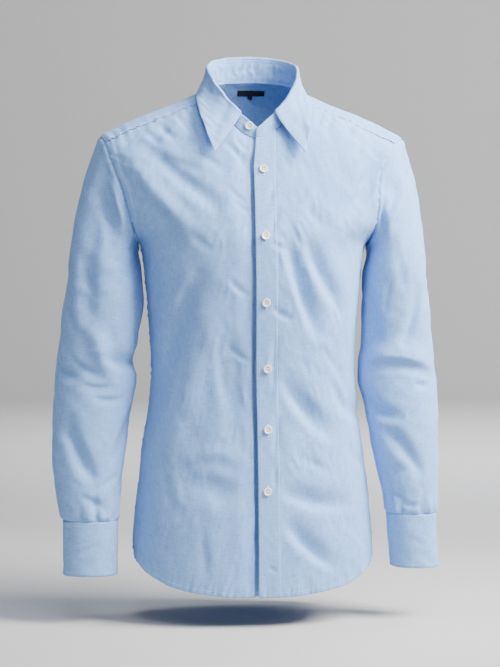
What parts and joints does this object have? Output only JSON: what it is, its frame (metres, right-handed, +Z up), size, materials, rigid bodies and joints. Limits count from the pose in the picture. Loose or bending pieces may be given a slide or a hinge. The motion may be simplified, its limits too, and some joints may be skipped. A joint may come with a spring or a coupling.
{
  "type": "long sleeve dress shirt",
  "caption": "Long-sleeved buttoned dress shirt with a pointed turn-down collar and curved hem, filled out as worn with nobody in it.",
  "frame": {"origin": "middle of the neck opening, about level with its sides, between the shoulders that carry the shirt", "axes": "+Z up along the body, +X towards the wearer's left, -Y forward out of the buttoned front"},
  "size_m": [0.5931, 0.2535, 0.8357],
  "materials": {
    "cotton_oxford": "light blue cotton oxford cloth, woven from blue warp and white weft, matt",
    "button_resin": "white cast polyester, polished",
    "label_satin": "black woven satin with nothing on it"
  },
  "bodies": {
    "root": {"front_left": "cotton_oxford", "front_right": "cotton_oxford", "back": "cotton_oxford", "yoke": "cotton_oxford", "collar_stand": "cotton_oxford", "collar_leaf": "cotton_oxford", "placket": "cotton_oxford", "sleeve_left": "cotton_oxford", "sleeve_right": "cotton_oxford", "sleeve_placket_left": "cotton_oxford", "sleeve_placket_right": "cotton_oxford", "cuff_left": "cotton_oxford", "cuff_right": "cotton_oxford", "button_1": "button_resin", "button_2": "button_resin", "button_3": "button_resin", "button_4": "button_resin", "button_5": "button_resin", "button_6": "button_resin", "button_7": "button_resin", "cuff_button_left": "button_resin", "cuff_button_right": "button_resin", "neck_label": "label_satin", "size_tab": "label_satin"}
  },
  "joints": []
}
